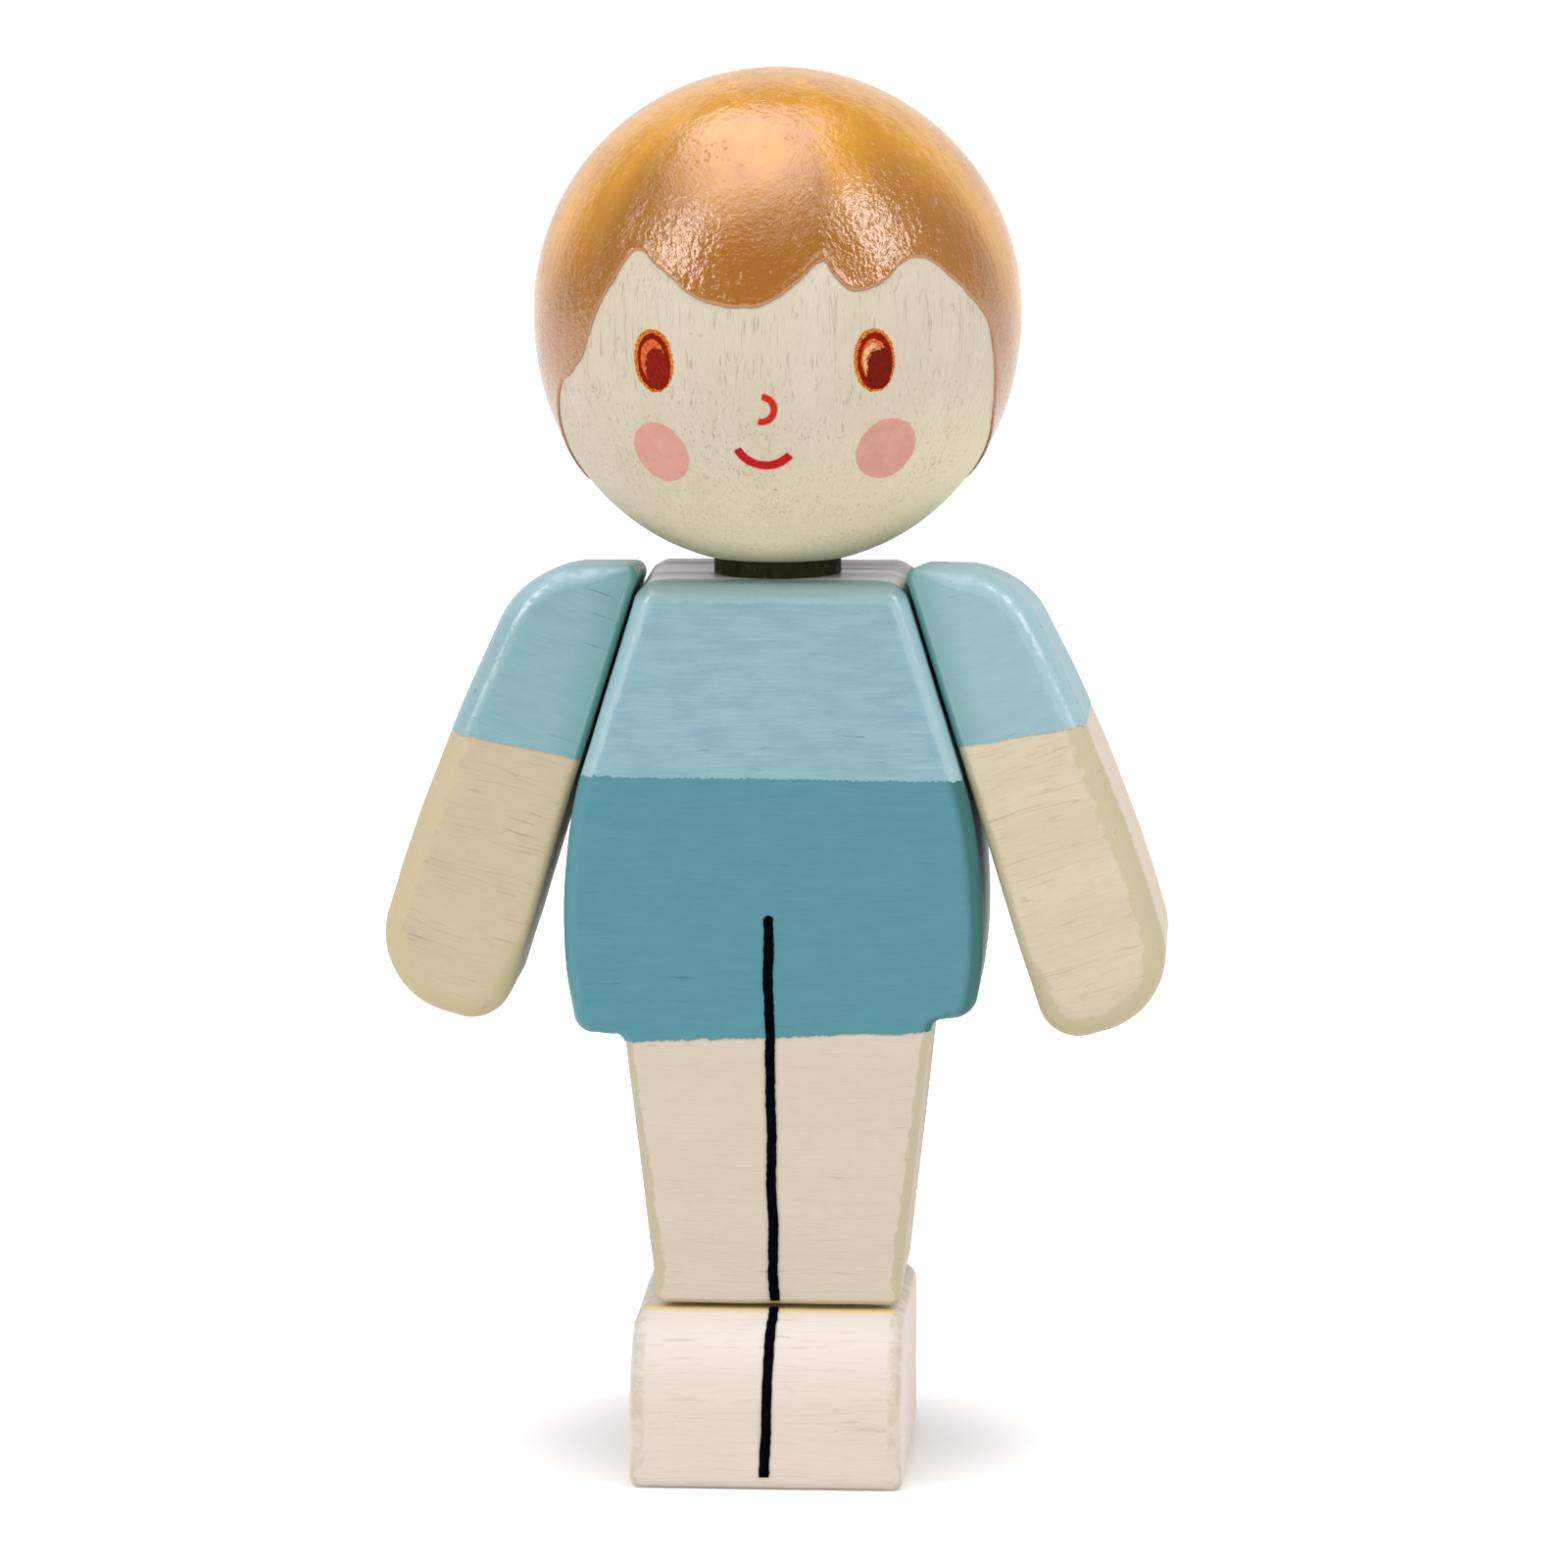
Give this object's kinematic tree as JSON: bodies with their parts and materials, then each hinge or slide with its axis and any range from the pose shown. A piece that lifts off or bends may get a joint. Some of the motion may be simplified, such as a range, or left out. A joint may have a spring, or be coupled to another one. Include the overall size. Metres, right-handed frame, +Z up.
{
  "type": "wooden toy figure",
  "caption": "Standing wooden toy figure of a child: a turned ball head on a neck dowel, flat arms that swing on pegs, a painted body block and a block foot that it stands on.",
  "frame": {"origin": "centre of the toy's box on the ground, straight under the neck dowel's axis", "axes": "+Z up along the neck dowel, the figure faces -Y, and its own left is at +X"},
  "size_m": [0.0479, 0.0298, 0.0856],
  "materials": {
    "body_paint": "satin water paint over sanded wood, light blue shirt above teal shorts, bare limed legs below",
    "sleeve_paint": "satin light blue paint over sanded wood, bare hand below",
    "face_wash": "pale wash over a turned ball, metallic copper-gold hair paint on the crown",
    "limed_wood": "matte limed wood",
    "neck_stain": "matte dark stain on a dowel",
    "bare_dowel": "bare dowel"
  },
  "bodies": {
    "torso": {"body_block": "body_paint", "foot_block": "limed_wood", "ankle_dowel": "bare_dowel", "neck_dowel": "neck_stain"},
    "head": {"head_ball": "face_wash"},
    "arm_left": {"arm_left": "sleeve_paint", "shoulder_peg_left": "bare_dowel"},
    "arm_right": {"arm_right": "sleeve_paint", "shoulder_peg_right": "bare_dowel"}
  },
  "joints": [
    {"name": "head_turn", "type": "hinge", "parent": "torso", "child": "head", "pos_m": [0, 0, 0.07085], "axis": [0, 0, 1], "continuous": true},
    {"name": "arm_left_swing", "type": "hinge", "parent": "torso", "child": "arm_left", "pos_m": [0.01016, 0, 0.04772], "axis": [-0.9563, 0, -0.2924], "range_deg": [-115, 115]},
    {"name": "arm_right_swing", "type": "hinge", "parent": "torso", "child": "arm_right", "pos_m": [-0.01016, 0, 0.04772], "axis": [-0.9563, 0, 0.2924], "range_deg": [-115, 115]}
  ]
}
